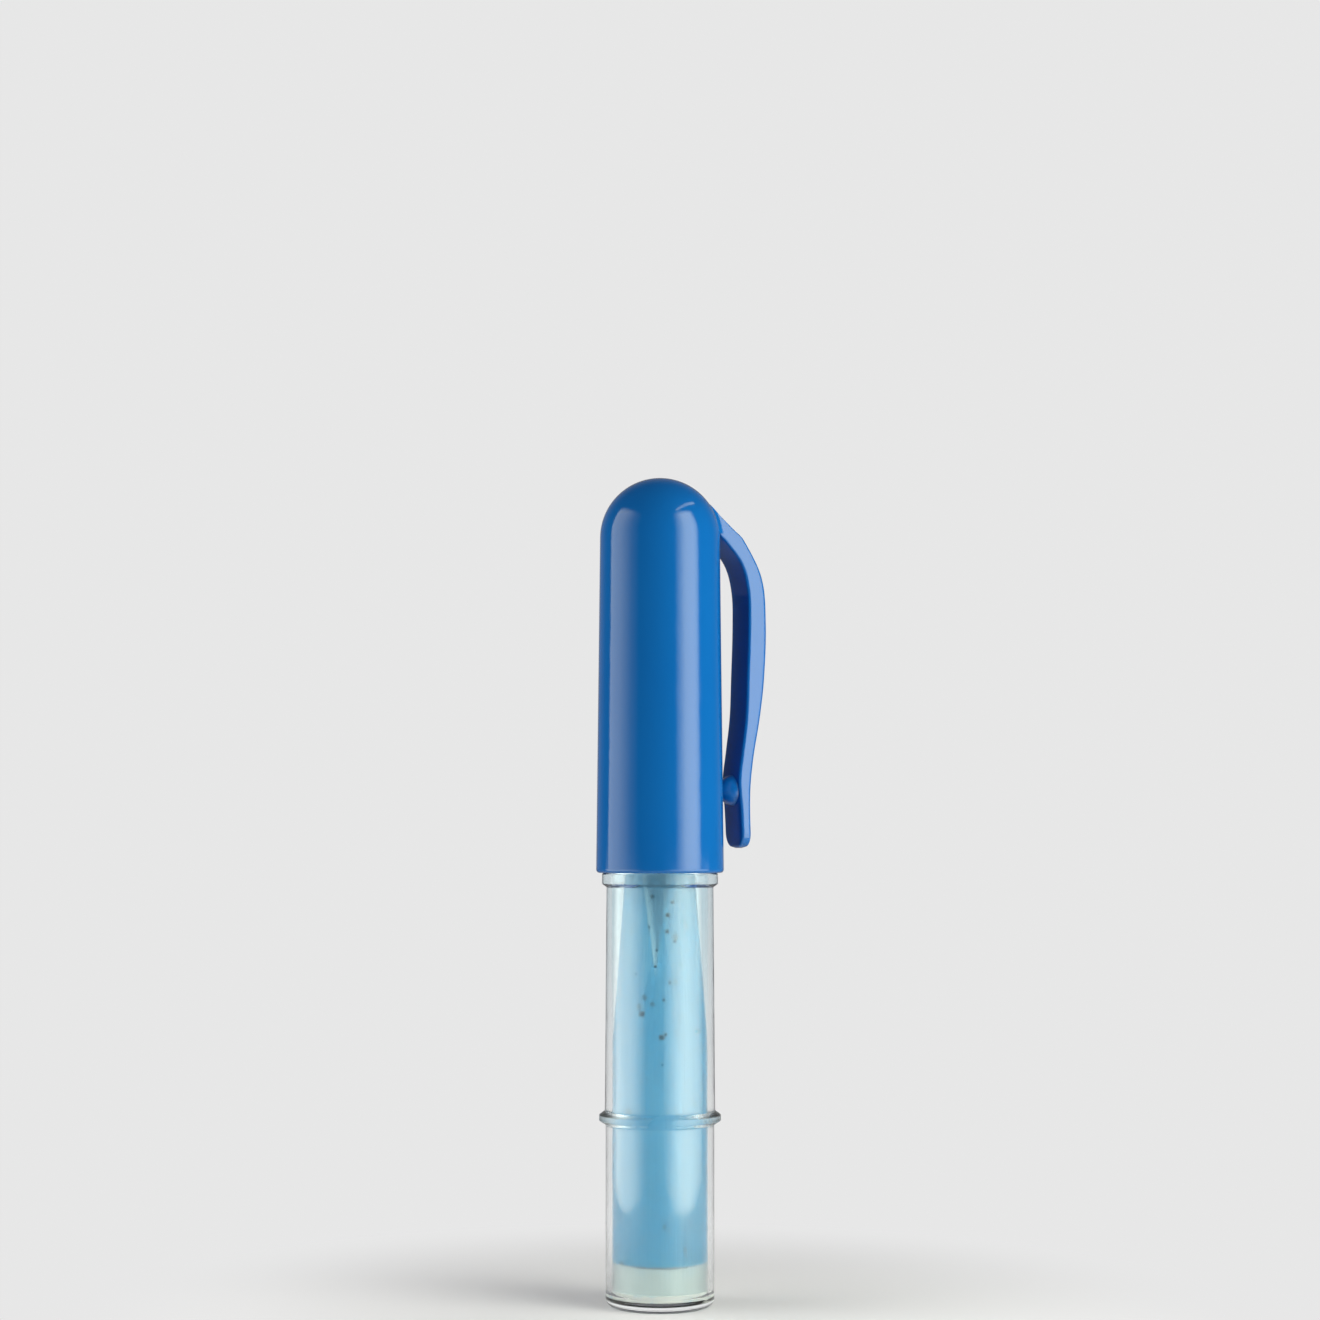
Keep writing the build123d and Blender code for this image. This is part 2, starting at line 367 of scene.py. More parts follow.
def frosted_plastic():
    """Milky plastic with drawn streaks, blue lines that grow towards the neck, and the crumbs."""
    made, shader, place = material("frosted_plastic", transmission_weight=0.98, ior=1.49)
    streaks = along(place, 2.2, 0.05).noise(1.0, 3.0)
    marks = crumbs(place, place.noise(5.0, 4.0), 1.0).step(0, 1) * 0.62
    lines = along(place, 5.0, 0.1).noise(1.0, 4.0, 0.7).step(0.48, 0.66)
    lines = lines * (0.35 + place.height().step(34, 54) * 0.55)
    milk = lines.blend((0.88, 0.95, 0.97, 1), (0.66, 0.80, 0.87, 1))
    marks.blend(milk, (0.12, 0.38, 0.50, 1)).into(shader.inputs["Base Color"])
    (0.28 + streaks * 0.14).into(shader.inputs["Roughness"])
    streaks.bump(0.25, 0.0002).into(shader.inputs["Normal"])
    lets_lamps_through(made, shader, (0.92, 0.96, 0.98, 1))
    return made


cartridge_bore = CARTRIDGE_RADIUS - CARTRIDGE_WALL
neck_bore = CARTRIDGE_NECK - CARTRIDGE_NECK_WALL
cartridge = turned(
    "refill_cartridge",
    rounded(
        [
            (CARTRIDGE_RADIUS, cartridge_low, 0.15),
            (CARTRIDGE_RADIUS, SHOULDER_LOW, SHOULDER_BEND),
            (CARTRIDGE_NECK, SHOULDER_HIGH, SHOULDER_BEND),
            (CARTRIDGE_NECK, cartridge_high, 0.2),
            (neck_bore, cartridge_high, 0.2),
            (neck_bore, SHOULDER_HIGH, SHOULDER_BEND),
            (cartridge_bore, SHOULDER_LOW, SHOULDER_BEND),
            (cartridge_bore, cartridge_low, 0.15),
        ]
    ),
)
cartridge.data.materials.append(frosted_plastic())
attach(cartridge, "refill")
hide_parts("cartridge")


# Cartridge plug
# A milk-white stopper pressed into the filling end of the cartridge. Its flange closes the tube,
# its skirt grips the bore, and it is hollow from below.
PLUG_FLANGE = 1.0
PLUG_SKIRT = 5.87
PLUG_HOLLOW = 4.97
PLUG_ROOF = 0.9
plug_low, plug_high = [corner.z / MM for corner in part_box("cartridge_plug")]


def white_plastic():
    """Milk-white plastic, slightly see-through, with a little chalk dust on it."""
    made, shader, place = material("white_plastic", subsurface_weight=0.1)
    shader.inputs["Subsurface Radius"].default_value = (1.0, 1.0, 0.9)
    shader.inputs["Subsurface Scale"].default_value = 0.6 * MM
    dust = place.noise(0.6, 5.0).step(0.5, 0.75)
    dust.blend((0.62, 0.65, 0.65, 1), (0.46, 0.58, 0.66, 1)).into(shader.inputs["Base Color"])
    grain = place.noise(4.0, 4.0)
    (0.3 + grain * 0.15).into(shader.inputs["Roughness"])
    grain.bump(0.2, 0.00005).into(shader.inputs["Normal"])
    return made


plug = turned(
    "cartridge_stopper",
    rounded(
        [
            (PLUG_HOLLOW, plug_low, 0.15),
            (CARTRIDGE_RADIUS, plug_low, 0.2),
            (CARTRIDGE_RADIUS, plug_low + PLUG_FLANGE, 0.15),
            (PLUG_SKIRT, plug_low + PLUG_FLANGE),
            (PLUG_SKIRT, plug_high, 0.5),
            (0, plug_high),
            (0, plug_high - PLUG_ROOF),
            (PLUG_HOLLOW, plug_high - PLUG_ROOF, 0.4),
        ]
    ),
)
plug.data.materials.append(white_plastic())
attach(plug, "refill")
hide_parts("cartridge_plug")


# Chalk powder
# Fine blue chalk, packed against the wall of the cartridge and slumped to a shallow crater at the
# top. Clots in it show as dark specks, and it smears in pale streaks where it has slid along the
# wall. At the front, a dark wedge with a pale left edge narrows downward to a point.
POWDER_TOUCH = 0.04
CRATER = 1.0
WEDGE_TOP = 56.6
WEDGE_APEX = 43.7
WEDGE_LEFT = -2.2
WEDGE_RIGHT = 1.3
WEDGE_FOOT = -0.55
powder_low, powder_high = [corner.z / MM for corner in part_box("chalk_powder")]


def blue_chalk():
    """Loose chalk, deep blue where it is packed and pale where it has smeared or thins out."""
    made, shader, place = material(
        "blue_chalk",
        roughness=0.9,
        sheen_weight=0.7,
        sheen_roughness=0.4,
        sheen_tint=(0.80, 0.92, 0.97, 1),
    )
    streaks = along(place, 1.3, 0.06).noise(1.0, 4.0, 0.6)
    drift = place.noise(0.12, 2.0)
    grain = place.noise(5.0, 5.0, 0.7)
    level = place.height()
    depth = across(place, FACE_ON)
    wander = across(place, SIDE_ON) + (streaks - 0.5) * 0.8
    drop = (WEDGE_TOP - level) / (WEDGE_TOP - WEDGE_APEX)
    from_left = wander - WEDGE_LEFT - drop * (WEDGE_FOOT - WEDGE_LEFT)
    from_right = WEDGE_RIGHT + drop * (WEDGE_FOOT - WEDGE_RIGHT) - wander
    # A dark wedge on the front narrows down to a point, with a pale strip along its left edge.
    dark_wedge = from_left.step(0.0, 0.25) * from_right.step(0.0, 0.5) * depth.step(0.5, 1.0)
    wedge_edge = dark_wedge * (1 - from_left.step(0.25, 1.1))
    pale = streaks.step(0.40, 0.70) * (0.16 + level.step(34, 54) * 0.40)
    pale = pale + level.step(36, 54) * 0.20 + drift * 0.08
    body = pale.blend((0.022, 0.39, 0.68, 1), (0.26, 0.60, 0.80, 1))
    body = (dark_wedge * 0.9).blend(body, (0.13, 0.34, 0.50, 1))
    body = (wedge_edge * 0.85).blend(body, (0.50, 0.74, 0.88, 1))
    body = (grain.step(0.45, 0.75) * 0.15).blend(body, (0.30, 0.56, 0.70, 1))
    spread = {"Vector": place, "Scale": 0.3, "Randomness": 1.0}
    cells = place.node("TexVoronoi", None, spread, "Distance")
    clots = (1 - cells.step(0.08, 0.17)) * grain.step(0.30, 0.50) * 0.7
    clots = clots + crumbs(place, grain, 1.7) * 0.8
    clots.step(0, 1).blend(body, (0.02, 0.11, 0.17, 1)).into(shader.inputs["Base Color"])
    (grain + streaks * 0.5).bump(0.5, 0.0001).into(shader.inputs["Normal"])
    return made


powder = turned(
    "chalk_powder_fill",
    rounded(
        [
            (0, powder_low),
            (cartridge_bore + POWDER_TOUCH, powder_low, 0.3),
            (cartridge_bore + POWDER_TOUCH, SHOULDER_LOW, SHOULDER_BEND),
            (neck_bore + POWDER_TOUCH, SHOULDER_HIGH, 6),
            (neck_bore + POWDER_TOUCH, powder_high, 0.3),
            (neck_bore / 2, powder_high - CRATER / 3, 2),
            (0, powder_high - CRATER),
        ]
    ),
)
powder.data.materials.append(blue_chalk())
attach(powder, "refill")
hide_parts("chalk_powder")


# Nose cone
# A glossy blue moulding that plugs into the barrel's neck. Its shoulder carries the cap's ribs, and
# it runs out to a slim tube whose end is slotted for the wheel and drilled across for its pin.
SPIGOT_BASE = 58.75
SPIGOT_RADIUS = 6.52
SOCKET_RADIUS = 4.88
SOCKET_TOP = 67.3
FLANGE_RADIUS = 7.25
FLANGE_TOP = 65.55
SHOULDER_RADIUS = 6.9
SHOULDER_TOP = 72.05
TAPER_TOP = 81.05
TIP_RADIUS = 3.6
CHANNEL_RADIUS = 1.3
CHANNEL_LOW = 70.3
WHEEL_CENTRE = 99.1
SLOT_RADIUS = 2.95
SLOT_HALF = 0.55
PIN_RADIUS = 0.5
PIN_EASE = 0.02
WELD = 0.001
CUT_SHARP = 35
nose_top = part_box("nose_cone")[1].z / MM


def blue_plastic():
    """Glossy blue plastic with a faint haze and rubs along it."""
    made, shader, place = material("blue_plastic", roughness=0.12)
    colour = place.noise(0.05, 2.0).blend((0.0025, 0.103, 0.385, 1), (0.0035, 0.119, 0.41, 1))
    colour.into(shader.inputs["Base Color"])
    rubs = along(place, 7.0, 0.12).noise(1.0, 5.0, 0.65).step(0.55, 0.8)
    haze = place.noise(0.3, 3.0)
    (0.07 + haze * 0.05 + rubs * 0.08).into(shader.inputs["Roughness"])
    (haze + rubs * 0.08).bump(0.08, 0.0003).into(shader.inputs["Normal"])
    return made


def cut(piece, cutters):
    """Takes the cutters out of a piece, welds its points and throws the cutters away."""
    for cutter in cutters:
        taken = piece.modifiers.new("cut", "BOOLEAN")
        taken.operation = "DIFFERENCE"
        taken.solver = "EXACT"
        taken.object = cutter
    bpy.context.view_layer.update()
    whole = bpy.context.evaluated_depsgraph_get()
    shaped = bpy.data.meshes.new_from_object(piece.evaluated_get(whole))
    piece.modifiers.clear()
    welded = bmesh.new()
    welded.from_mesh(shaped)
    bmesh.ops.remove_doubles(welded, verts=welded.verts, dist=WELD * MM)
    welded.to_mesh(shaped)
    welded.free()
    piece.data = shaped
    shaped.shade_smooth()
    shaped.set_sharp_from_angle(angle=math.radians(CUT_SHARP))
    for cutter in cutters:
        bpy.data.objects.remove(cutter)


def slab(name, outline, half):
    """A slab across the pen, with its outline in (x, z) and its thickness along Y."""
    shape = bmesh.new()
    front = points(shape, [(x, -half, z) for x, z in outline])
    back = points(shape, [(x, half, z) for x, z in outline])
    shape.faces.new(front)
    shape.faces.new(back[::-1])
    for place in range(len(outline)):
        following = (place + 1) % len(outline)
        shape.faces.new([front[place], back[place], back[following], front[following]])
    return finished(name, shape)


def arc(radius, height, sides, start=0.0, turn=2 * math.pi):
    """Places (x, z) on a circle in the plane of the wheel, all round or over a part of it."""
    places = []
    for side in range(sides):
        angle = start + turn * side / sides
        places.append((radius * math.cos(angle), height + radius * math.sin(angle)))
    return places


nose = turned(
    "nose_cone_body",
    rounded(
        [
            (SOCKET_RADIUS, SPIGOT_BASE, 0.2),
            (SPIGOT_RADIUS, SPIGOT_BASE, 0.3),
            (SPIGOT_RADIUS, barrel_top),
            (FLANGE_RADIUS, barrel_top, 0.12),
            (FLANGE_RADIUS, FLANGE_TOP, 0.25),
            (SHOULDER_RADIUS, FLANGE_TOP, 0.1),
            (SHOULDER_RADIUS, SHOULDER_TOP, 1.2),
            (TIP_RADIUS, TAPER_TOP, 5),
            (TIP_RADIUS, nose_top, 0.7),
            (CHANNEL_RADIUS, nose_top),
            (CHANNEL_RADIUS, CHANNEL_LOW, 1),
            (neck_bore, SOCKET_TOP, 0.2),
            (SOCKET_RADIUS, SOCKET_TOP, 0.1),
        ]
    ),
)
wheel_slot = arc(SLOT_RADIUS, WHEEL_CENTRE, 48, math.pi, math.pi)
wheel_slot += [
    (SLOT_RADIUS, WHEEL_CENTRE),
    (SLOT_RADIUS, nose_top + 1),
    (-SLOT_RADIUS, nose_top + 1),
]
pin_hole = arc(PIN_RADIUS + PIN_EASE, WHEEL_CENTRE, 40)
cut(
    nose,
    [
        slab("slot_cutter", wheel_slot, SLOT_HALF),
        slab("pin_hole_cutter", pin_hole, TIP_RADIUS + 1),
    ],
)
blue = blue_plastic()
nose.data.materials.append(blue)
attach(nose, "nose")
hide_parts("nose_cone")


# Toothed wheel and its pin
# A little steel disc with pressed teeth turns in the slot and drags a dusting of chalk out with it.
# Its pin is a cut length of wire, pressed into the two cheeks of the slot.
WHEEL_RADIUS = 2.7
WHEEL_HALF = 0.4
TOOTH_COUNT = 30
TOOTH_DEPTH = 0.32
TOOTH_FOOT = 0.06
WHEEL_BORE = 0.56
HUB_RADIUS = 1.15
WEB_RECESS = 0.08
WEB_RADIUS = 1.9
WHEEL_EASE = 0.05
FACETS_A_TOOTH = 4
CREST_FALL = 3
PIN_HALF = 3.2


def steel():
    """Brushed steel with chalk dust on it, which hides the metal where it lies."""
    made, shader, place = material("steel")
    brushed = (place * (0.4, 6.0, 6.0)).noise(3.0, 5.0, 0.7)
    dust = place.noise(1.6, 4.0, 0.7).step(0.42, 0.62)
    metal_tone = brushed.blend((0.38, 0.39, 0.41, 1), (0.52, 0.52, 0.53, 1))
    (dust * 0.8).blend(metal_tone, (0.10, 0.36, 0.55, 1)).into(shader.inputs["Base Color"])
    (1 - dust * 0.8).into(shader.inputs["Metallic"])
    (0.32 + brushed * 0.2 + dust * 0.35).into(shader.inputs["Roughness"])
    brushed.bump(0.25, 0.00003).into(shader.inputs["Normal"])
    return made


def wheel_side(shape, outward):
    """One face of the wheel, from its bore over the recessed web to the teeth, in rings."""
    rings = []
    count = TOOTH_COUNT * FACETS_A_TOOTH
    levels = [
        (WHEEL_BORE, 0),
        (HUB_RADIUS, 0),
        (HUB_RADIUS + WEB_RECESS, -WEB_RECESS),
        (WEB_RADIUS, -WEB_RECESS),
        (WEB_RADIUS + WEB_RECESS, 0),
        (WHEEL_RADIUS - TOOTH_DEPTH - TOOTH_FOOT, 0),
    ]
    for radius, lift in levels:
        y = outward * (WHEEL_HALF + lift)
        places = arc(radius, WHEEL_CENTRE, count, math.pi / 2)
        rings.append(points(shape, [(x, y, z) for x, z in places]))
    for inset, lift in ((WHEEL_EASE, 0), (0, WHEEL_EASE)):
        y = outward * (WHEEL_HALF - lift)
        places = []
        for side in range(count):
            phase = side % FACETS_A_TOOTH / FACETS_A_TOOTH
            crest = max(0, 1 - CREST_FALL * min(phase, 1 - phase))
            radius = WHEEL_RADIUS - TOOTH_DEPTH + TOOTH_DEPTH * crest - inset
            angle = math.pi / 2 + 2 * math.pi * side / count
            places.append((radius * math.cos(angle), y, WHEEL_CENTRE + radius * math.sin(angle)))
        rings.append(points(shape, places))
    return rings


def toothed_wheel():
    """The wheel, its two faces joined over the teeth and through the bore."""
    shape = bmesh.new()
    near, far = wheel_side(shape, -1), wheel_side(shape, 1)
    walls(shape, near + far[::-1] + near[:1])
    return finished("toothed_wheel", shape, 30)


wheel = toothed_wheel()
metal = steel()
wheel.data.materials.append(metal)
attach(wheel, "wheel")
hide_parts("wheel")

pin_outline = [
    (0, -PIN_HALF),
    (PIN_RADIUS, -PIN_HALF, 0.1),
    (PIN_RADIUS, PIN_HALF, 0.1),
    (0, PIN_HALF),
]
pin = turned("wheel_pin", rounded(pin_outline), 48)
# It is turned upright and then laid across the pen, which swaps two axes and so turns its faces.
for vertex in pin.data.vertices:
    x, y, z = vertex.co
    vertex.co = (x, z, y + WHEEL_CENTRE * MM)
pin.data.flip_normals()
pin.data.materials.append(metal)
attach(pin, "nose")
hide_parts("axle_pin")


# Cap
# A glossy blue shell, a little wider at the mouth than under its round dome. Six short ribs inside
# grip the nose's shoulder, so that the mouth stops against the collar.
CAP_MOUTH = 8.73
CAP_DOME = 8.25
CAP_BORE = 7.45
CAP_CROWN = 4.2
CAP_CROWN_WALL = 2.8
CAP_CROWN_SLOPE = 4.2
RIB_COUNT = 6
RIB_HALF = 0.45
RIB_INNER = 6.96
RIB_LOW = 66.25
RIB_HIGH = 74.25
RIB_SINK = 0.2
RIB_LEAD = 0.35
RIB_ROUND = 0.12
cap_low, cap_top = [corner.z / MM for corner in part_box("cap")]
dome_base = cap_top - CAP_DOME


def dome(radius, base, steps=28):
    """A quarter circle from the side up to just short of the axis."""
    angles = [math.pi / 2 * step / steps for step in range(steps)]
    return [Vector((radius * math.cos(a), base + radius * math.sin(a))) for a in angles]


crown = cap_top - CAP_CROWN_WALL
mouth = rounded(
    [
        (CAP_BORE, cap_low, 0.15),
        (CAP_MOUTH, cap_low, 0.45),
        (CAP_DOME, dome_base),
        (0, cap_top),
    ]
)
inside = rounded(
    [
        (0, crown),
        (CAP_CROWN, crown, 1.4),
        (CAP_BORE, crown - CAP_CROWN_SLOPE, 2),
        (CAP_BORE, cap_low),
    ]
)
outside = mouth[:-2] + dome(CAP_DOME, dome_base) + [Vector((0, cap_top))]
cap = turned("cap_shell", outside + inside[:-1], 192)
cap.data.materials.append(blue)
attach(cap, "cap")
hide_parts("cap")


def rib(number):
    """One grip rib, a rounded bar along the bore with sloping ends."""
    shape = bmesh.new()
    bmesh.ops.create_cube(shape, size=1)
    outer = CAP_BORE + RIB_SINK
    for corner in shape.verts:
        end = RIB_LEAD if corner.co.x < 0 else 0
        corner.co = (
            (RIB_INNER if corner.co.x < 0 else outer) * MM,
            corner.co.y * 2 * RIB_HALF * MM,
            (RIB_LOW + end if corner.co.z < 0 else RIB_HIGH - end) * MM,
        )
    bmesh.ops.bevel(
        shape,
        geom=shape.edges[:],
        offset=RIB_ROUND * MM,
        segments=3,
        affect="EDGES",
        profile=0.5,
    )
    angle = 2 * math.pi * number / RIB_COUNT
    cosine, sine = math.cos(angle), math.sin(angle)
    for corner in shape.verts:
        x, y, z = corner.co
        corner.co = (x * cosine - y * sine, x * sine + y * cosine, z)
    return finished(f"cap_rib_{number}", shape)


for number in range(RIB_COUNT):
    grip = rib(number)
    grip.data.materials.append(blue)
    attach(grip, "cap")


# Clip
# A bowed strip moulded in one with the dome. It stands off the cap, draws in again above its round
# end, and pinches cloth with the round nub behind it.
CLIP_ROOT = 108.5
CLIP_LENGTH = 46.6
CLIP_REACH = 7.11
CLIP_HALF_WIDTH = 2.6
CLIP_EDGE = 0.4
CLIP_EDGE_OF_DEPTH = 0.48
CLIP_EDGE_OF_WIDTH = 0.9
CLIP_FILLET = 0.7
CLIP_SINK = 0.6
CLIP_FREE = 2.4
CLIP_START = -0.04
CLIP_TURN = 0.952
CLIP_LONG_STEPS = 110
CLIP_END_STEPS = 16
CLIP_END_ROUND = 2.1
CLIP_OUTER_SHARES = [
    (-0.090, -1.00), (-0.060, -0.65), (-0.036, -0.39), (-0.015, -0.175), (0.0215, 0.065),
    (0.0551, 0.300), (0.081, 0.50), (0.195, 0.91), (0.330, 1.00), (0.494, 0.96),
    (0.614, 0.86), (0.734, 0.715), (0.840, 0.645), (1.000, 0.665), (1.1, 0.7),
]
CLIP_INNER_SHARES = [
    (-0.10, -1.2), (-0.06, -0.9), (0.0, -0.4), (0.070, -0.03), (0.150, 0.42),
    (0.230, 0.585), (0.330, 0.61), (0.494, 0.575), (0.614, 0.54), (0.720, 0.45),
    (0.800, 0.385), (0.890, 0.43), (1.000, 0.465), (1.1, 0.5),
]
NUB_RADIUS = 2.2
NUB_HEIGHT = 69.9
NUB_ROOT = 11.4
NUB_TIP = 8.95
NUB_FULLNESS = 0.7
NUB_STEPS = 16


def stand_off(shares, share):
    """How far the clip stands off at a share of its length, on a smooth curve through a table."""
    place = 1
    while place < len(shares) - 3 and shares[place + 1][0] < share:
        place += 1
    (s0, v0), (s1, v1), (s2, v2), (s3, v3) = shares[place - 1:place + 3]
    step = s2 - s1
    t = (share - s1) / step
    slope_in = (v2 - v0) / (s2 - s0) * step
    slope_out = (v3 - v1) / (s3 - s1) * step
    return (
        (2 * t ** 3 - 3 * t ** 2 + 1) * v1
        + (t ** 3 - 2 * t ** 2 + t) * slope_in
        + (3 * t ** 2 - 2 * t ** 3) * v2
        + (t ** 3 - t ** 2) * slope_out
    )


def girth(height):
    """The cap's outer radius at a height."""
    if height > dome_base:
        return math.sqrt(max(CAP_DOME ** 2 - (height - dome_base) ** 2, 0))
    return CAP_MOUTH + (CAP_DOME - CAP_MOUTH) * (height - cap_low) / (dome_base - cap_low)


def flare(lift):
    """How far the clip's side swells where it stands so far off the dome, as a moulded fillet."""
    if lift > CLIP_FILLET:
        return 0
    depth = CLIP_FILLET - max(lift, 0)
    return CLIP_FILLET - math.sqrt(CLIP_FILLET ** 2 - depth ** 2)


def clip_ring(shape, inner, outer, half_width, height, steps=6, side_steps=10):
    """One cross-section of the clip, a rounded rectangle that flares out into the dome."""
    edge = min(CLIP_EDGE, CLIP_EDGE_OF_DEPTH * (outer - inner), CLIP_EDGE_OF_WIDTH * half_width)
    out, back, aside = outer - edge, inner + edge, half_width - edge
    half = []
    for step in range(steps + 1):
        angle = math.pi / 2 * step / steps
        half.append((out + edge * math.cos(angle), aside + edge * math.sin(angle)))
    for step in range(1, side_steps):
        half.append((out + (inner - outer + 2 * edge) * step / side_steps, half_width))
    for step in range(steps + 1):
        angle = math.pi / 2 * (1 + step / steps)
        half.append((back + edge * math.cos(angle), aside + edge * math.sin(angle)))
    free = min(max((outer - girth(height)) / CLIP_FREE, 0), 1)
    free = free * free * (3 - 2 * free)
    swollen = []
    for x, y in half:
        reach = math.hypot(x, y)
        angle = math.atan2(y, x) + flare(reach - girth(height)) / reach
        reach = min(reach, outer + (reach - outer) * free)
        swollen.append((reach * math.cos(angle), reach * math.sin(angle)))
    ring = swollen + [(x, -y) for x, y in swollen[::-1]]
    return points(shape, [(x, y, height) for x, y in ring])


def clip_strip():
    """The clip, from its root in the dome to its rounded end, in steps that shorten there."""
    shape = bmesh.new()
    shares = []
    for step in range(CLIP_LONG_STEPS + 1):
        shares.append(CLIP_START + (CLIP_TURN - CLIP_START) * step / CLIP_LONG_STEPS)
    spare = 1 - shares[-1]
    for step in range(1, CLIP_END_STEPS + 1):
        shares.append(1 - spare * math.cos(math.pi / 2 * step / CLIP_END_STEPS))
    rings = []
    for share in shares:
        height = CLIP_ROOT - share * CLIP_LENGTH
        inner = CAP_DOME + CLIP_REACH * stand_off(CLIP_INNER_SHARES, share)
        inner = max(inner, girth(height) - CLIP_SINK)
        outer = CAP_DOME + CLIP_REACH * stand_off(CLIP_OUTER_SHARES, share)
        outer = max(outer, inner + CLIP_SINK / 2)
        left = (1 - share) * CLIP_LENGTH
        width = CLIP_HALF_WIDTH
        if left < CLIP_END_ROUND:
            rise = math.sqrt(CLIP_END_ROUND ** 2 - (CLIP_END_ROUND - left) ** 2)
            width -= CLIP_END_ROUND - rise
        thin = 0.0
        if left < CLIP_EDGE:
            thin = CLIP_EDGE - math.sqrt(CLIP_EDGE ** 2 - (CLIP_EDGE - left) ** 2)
        rings.append(clip_ring(shape, inner + thin, outer - thin, width, height))
    walls(shape, rings)
    shape.faces.new(rings[0])
    shape.faces.new(rings[-1][::-1])
    return finished("cap_clip", shape, 50)


clip = clip_strip()
clip.data.materials.append(blue)
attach(clip, "cap")

nub_outline = [Vector((0, NUB_ROOT))]
for step in range(NUB_STEPS + 1):
    nub_width = NUB_RADIUS * math.cos(math.pi / 2 * step / NUB_STEPS) ** NUB_FULLNESS
    nub_outline.append(Vector((nub_width, NUB_ROOT - (NUB_ROOT - NUB_TIP) * step / NUB_STEPS)))
nub = turned("clip_nub", nub_outline, 64)
# It is turned upright and then tipped over, so that its axis runs from the clip to the cap.
for vertex in nub.data.vertices:
    x, y, z = vertex.co
    vertex.co = (z, y, NUB_HEIGHT * MM - x)
nub.data.materials.append(blue)
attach(nub, "cap")


# Studio
# A pale floor runs out into a pale room. One tall soft light stands on each side of the camera, and
# a narrow bar hangs high on the right for the streak on the dome. The camera is low in front of the
# pen, with the clip turned to the right and back.
CAMERA_DISTANCE = 0.38
CAMERA_HEIGHT = 0.064
LOOK_HEIGHT = 0.0877
CAMERA_ANGLE = math.radians(26.8)
CAMERA_NEAR = 0.01
BACKDROP = 0.80
ROOM = 0.22
DARK_ROOM = 0.04
FAR_ROOM = 0.25
BEHIND_FROM = -0.1
BEHIND_FULL = 0.3
MIRROR_FROM = 0.45
MIRROR_FULL = 1.0
sight = Vector((math.sin(VIEW_BEARING), math.cos(VIEW_BEARING), 0))

camera = bpy.data.objects.new("camera", bpy.data.cameras.new("camera"))
bpy.context.scene.collection.objects.link(camera)
camera.location = Vector((0, 0, CAMERA_HEIGHT)) - sight * CAMERA_DISTANCE
look = Vector((0, 0, LOOK_HEIGHT)) - camera.location
camera.rotation_euler = look.to_track_quat("-Z", "Y").to_euler()
camera.data.angle = CAMERA_ANGLE
camera.data.clip_start = CAMERA_NEAR
bpy.context.scene.camera = camera

world = bpy.data.worlds.new("room")
world.use_nodes = True
bpy.context.scene.world = world

# The camera sees the backdrop, also through the clear plastic. In mirrors the room is dark, and a
# little lighter behind the pen. All other rays find a dim room.
sky = world.node_tree.nodes["Background"]
path = Wire(sky.outputs[0])
heading = path.node("TexCoord", output="Generated")
behind = across(heading, tuple(sight))
through = path.ray("Transmission") * behind.step(BEHIND_FROM, BEHIND_FULL)
mirror = behind.step(MIRROR_FROM, MIRROR_FULL).blend(grey(DARK_ROOM), grey(FAR_ROOM))
dim = path.ray("Glossy").blend(grey(ROOM), mirror)
path.ray("Camera").either(through).blend(dim, grey(BACKDROP)).into(sky.inputs["Color"])

# The floor fades into the backdrop, and throws less light on the pen than its own tone would.
FLOOR_SIZE = 4.0
FLOOR_BOUNCE = 0.4
FLOOR_TONE = (0.80, 0.79, 0.855, 1)
FLOOR_NEAR = 12
FLOOR_FAR = 80
floor_shape = bmesh.new()
bmesh.ops.create_grid(floor_shape, x_segments=8, y_segments=8, size=FLOOR_SIZE)
floor = finished("floor", floor_shape)
paper, paper_shader, spot = material("floor", roughness=0.7)
bounce = spot.ray("Diffuse").blend(FLOOR_TONE, grey(FLOOR_BOUNCE))
bounce.into(paper_shader.inputs["Base Color"])
spot.noise(0.8, 4.0).bump(0.05, 0.0002).into(paper_shader.inputs["Normal"])
away = spot.node("VectorMath", {"operation": "LENGTH"}, {0: spot}, "Value")
fade = away.step(FLOOR_NEAR, FLOOR_FAR) * spot.ray("Camera").either(spot.ray("Transmission"))
glow = spot.node("Emission", None, {"Color": grey(BACKDROP), "Strength": 1.0})
shares_surface(paper, fade, Wire(paper_shader.outputs[0]), glow)
floor.data.materials.append(paper)

LAMP_COLOUR = (0.98, 1.0, 0.85)
LEFT_COLOUR = (1.0, 1.0, 0.88)
LAMP_DISTANCE = 0.1
LAMP_LOW = 0.0005
LAMP_HIGH = 0.2
# Shares of a tall lamp's height: its shading for the barrel gives way to that for the cap between
# the first two, and it fades out between the others.
BARREL_END = 0.253
CAP_START = 0.312
LAMP_FADE = 0.9
LAMP_END = 1.02
BAR_LENGTH = 0.17
BAR_WIDTH = 0.012
BAR_RADIANCE = 3.2
BAR_BEARING = math.radians(73)
BAR_RISE = math.radians(51)
BAR_DISTANCE = 0.2


def toward(bearing):
    """The level way from the pen at a bearing, from the camera's side round to the right."""
    right = Vector((sight.y, -sight.x, 0))
    return right * math.sin(bearing) - sight * math.cos(bearing)


def rectangle(name, width, height, radiance, colour):
    """A lamp that is a rectangle of an even radiance."""
    lamp = bpy.data.lights.new(name, "AREA")
    lamp.shape = "RECTANGLE"
    lamp.size = width
    lamp.size_y = height
    lamp.energy = math.pi * radiance * lamp.size * lamp.size_y
    lamp.color = colour
    return lamp


